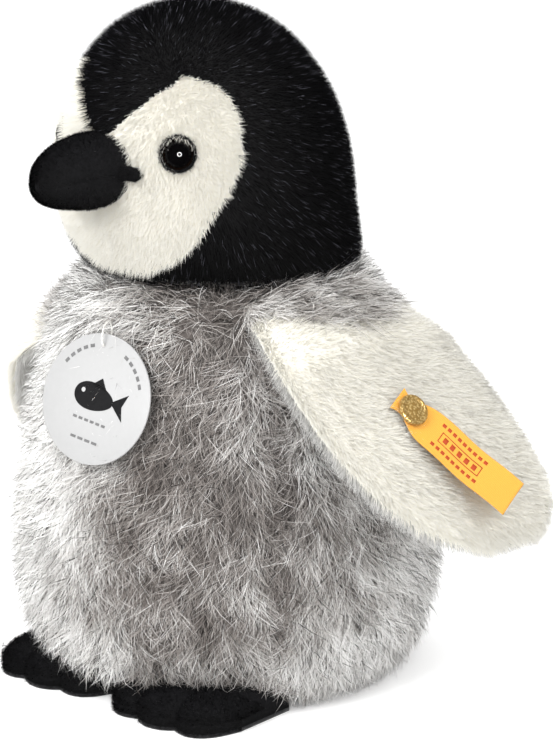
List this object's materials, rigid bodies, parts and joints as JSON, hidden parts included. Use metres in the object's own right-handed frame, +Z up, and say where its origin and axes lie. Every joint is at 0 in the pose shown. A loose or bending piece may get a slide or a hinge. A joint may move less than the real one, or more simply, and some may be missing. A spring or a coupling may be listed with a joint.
{
  "type": "plush penguin",
  "caption": "Standing plush penguin chick with long grey body fur, a black short-pile head with cream cheeks, a domed black beak, flapping cream wings, velour feet and hang tags",
  "frame": {"origin": "centre of the flat base the chick stands on, on the vertical axis of its body", "axes": "+Z up, the chick faces -Y, its left side is +X"},
  "size_m": [0.1495, 0.1112, 0.16],
  "materials": {
    "grey_plush": "long-pile tipped fur, dark at the root and silver at the tip",
    "black_plush": "short dense black pile",
    "cream_plush": "short cream-white pile",
    "wing_lining": "short grey pile",
    "black_velour": "very short black velour",
    "base_felt": "flat grey short-pile cloth",
    "sole_felt": "flat black cloth",
    "polyester_fill": "loose white fibre",
    "bag_cloth": "woven cotton bag of granulate",
    "thread": "twisted sewing thread",
    "eye_gloss": "dark brown domed, polished",
    "washer_plastic": "moulded",
    "tag_card": "smooth white printed card",
    "yellow_ribbon": "woven ribbon with a printed pattern",
    "brass": "polished"
  },
  "bodies": {
    "body": {"body_front_left": "grey_plush", "body_front_right": "grey_plush", "body_back_left": "grey_plush", "body_back_right": "grey_plush", "body_base": "base_felt", "body_stuffing": "polyester_fill", "weight_bag": "bag_cloth", "neck_thread": "thread", "tag_loop": "thread", "foot_top_left": "black_velour", "foot_sole_left": "sole_felt", "foot_stuffing_left": "polyester_fill", "foot_top_right": "black_velour", "foot_sole_right": "sole_felt", "foot_stuffing_right": "polyester_fill"},
    "head": {"head_left": "black_plush", "head_right": "black_plush", "head_gusset": "black_plush", "face_left": "cream_plush", "face_right": "cream_plush", "head_stuffing": "polyester_fill", "beak_upper": "black_velour", "beak_lower": "black_velour", "beak_stuffing": "polyester_fill", "mouth_stitch_left": "black_velour", "mouth_stitch_right": "black_velour", "eye_left": "eye_gloss", "eye_right": "eye_gloss", "eye_washer_left": "washer_plastic", "eye_washer_right": "washer_plastic"},
    "left_wing": {"wing_outer_left": "cream_plush", "wing_inner_left": "wing_lining", "wing_stuffing_left": "polyester_fill", "label_fold": "yellow_ribbon", "label_button": "brass", "button_clinch": "brass"},
    "right_wing": {"wing_outer_right": "cream_plush", "wing_inner_right": "wing_lining", "wing_stuffing_right": "polyester_fill"},
    "chest_tag": {"chest_tag": "tag_card"},
    "label": {"label_ribbon": "yellow_ribbon"}
  },
  "joints": [
    {"name": "head_turn", "type": "hinge", "parent": "body", "child": "head", "pos_m": [0, 0, 0.097], "axis": [0, 0, 1], "range_deg": [-20, 20], "stiffness_Nm_per_rad": 0.05},
    {"name": "left_wing_flap", "type": "hinge", "parent": "body", "child": "left_wing", "pos_m": [0.03332, 0.00179, 0.09132], "axis": [-0.0094, -0.9982, 0.0599], "range_deg": [-8, 40], "stiffness_Nm_per_rad": 0.08},
    {"name": "right_wing_flap", "type": "hinge", "parent": "body", "child": "right_wing", "pos_m": [-0.03355, 0.00156, 0.09102], "axis": [0.1684, 0.9267, 0.3359], "range_deg": [-3, 44], "stiffness_Nm_per_rad": 0.08},
    {"name": "chest_tag_lift", "type": "hinge", "parent": "body", "child": "chest_tag", "pos_m": [0.00103, -0.04197, 0.08742], "axis": [-0.9945, -0.1045, 0], "range_deg": [0, 70]},
    {"name": "label_lift", "type": "hinge", "parent": "left_wing", "child": "label", "pos_m": [0.06413, -0.00584, 0.06973], "axis": [0.1187, -0.8924, -0.4353], "range_deg": [0, 55], "stiffness_Nm_per_rad": 0.002}
  ]
}
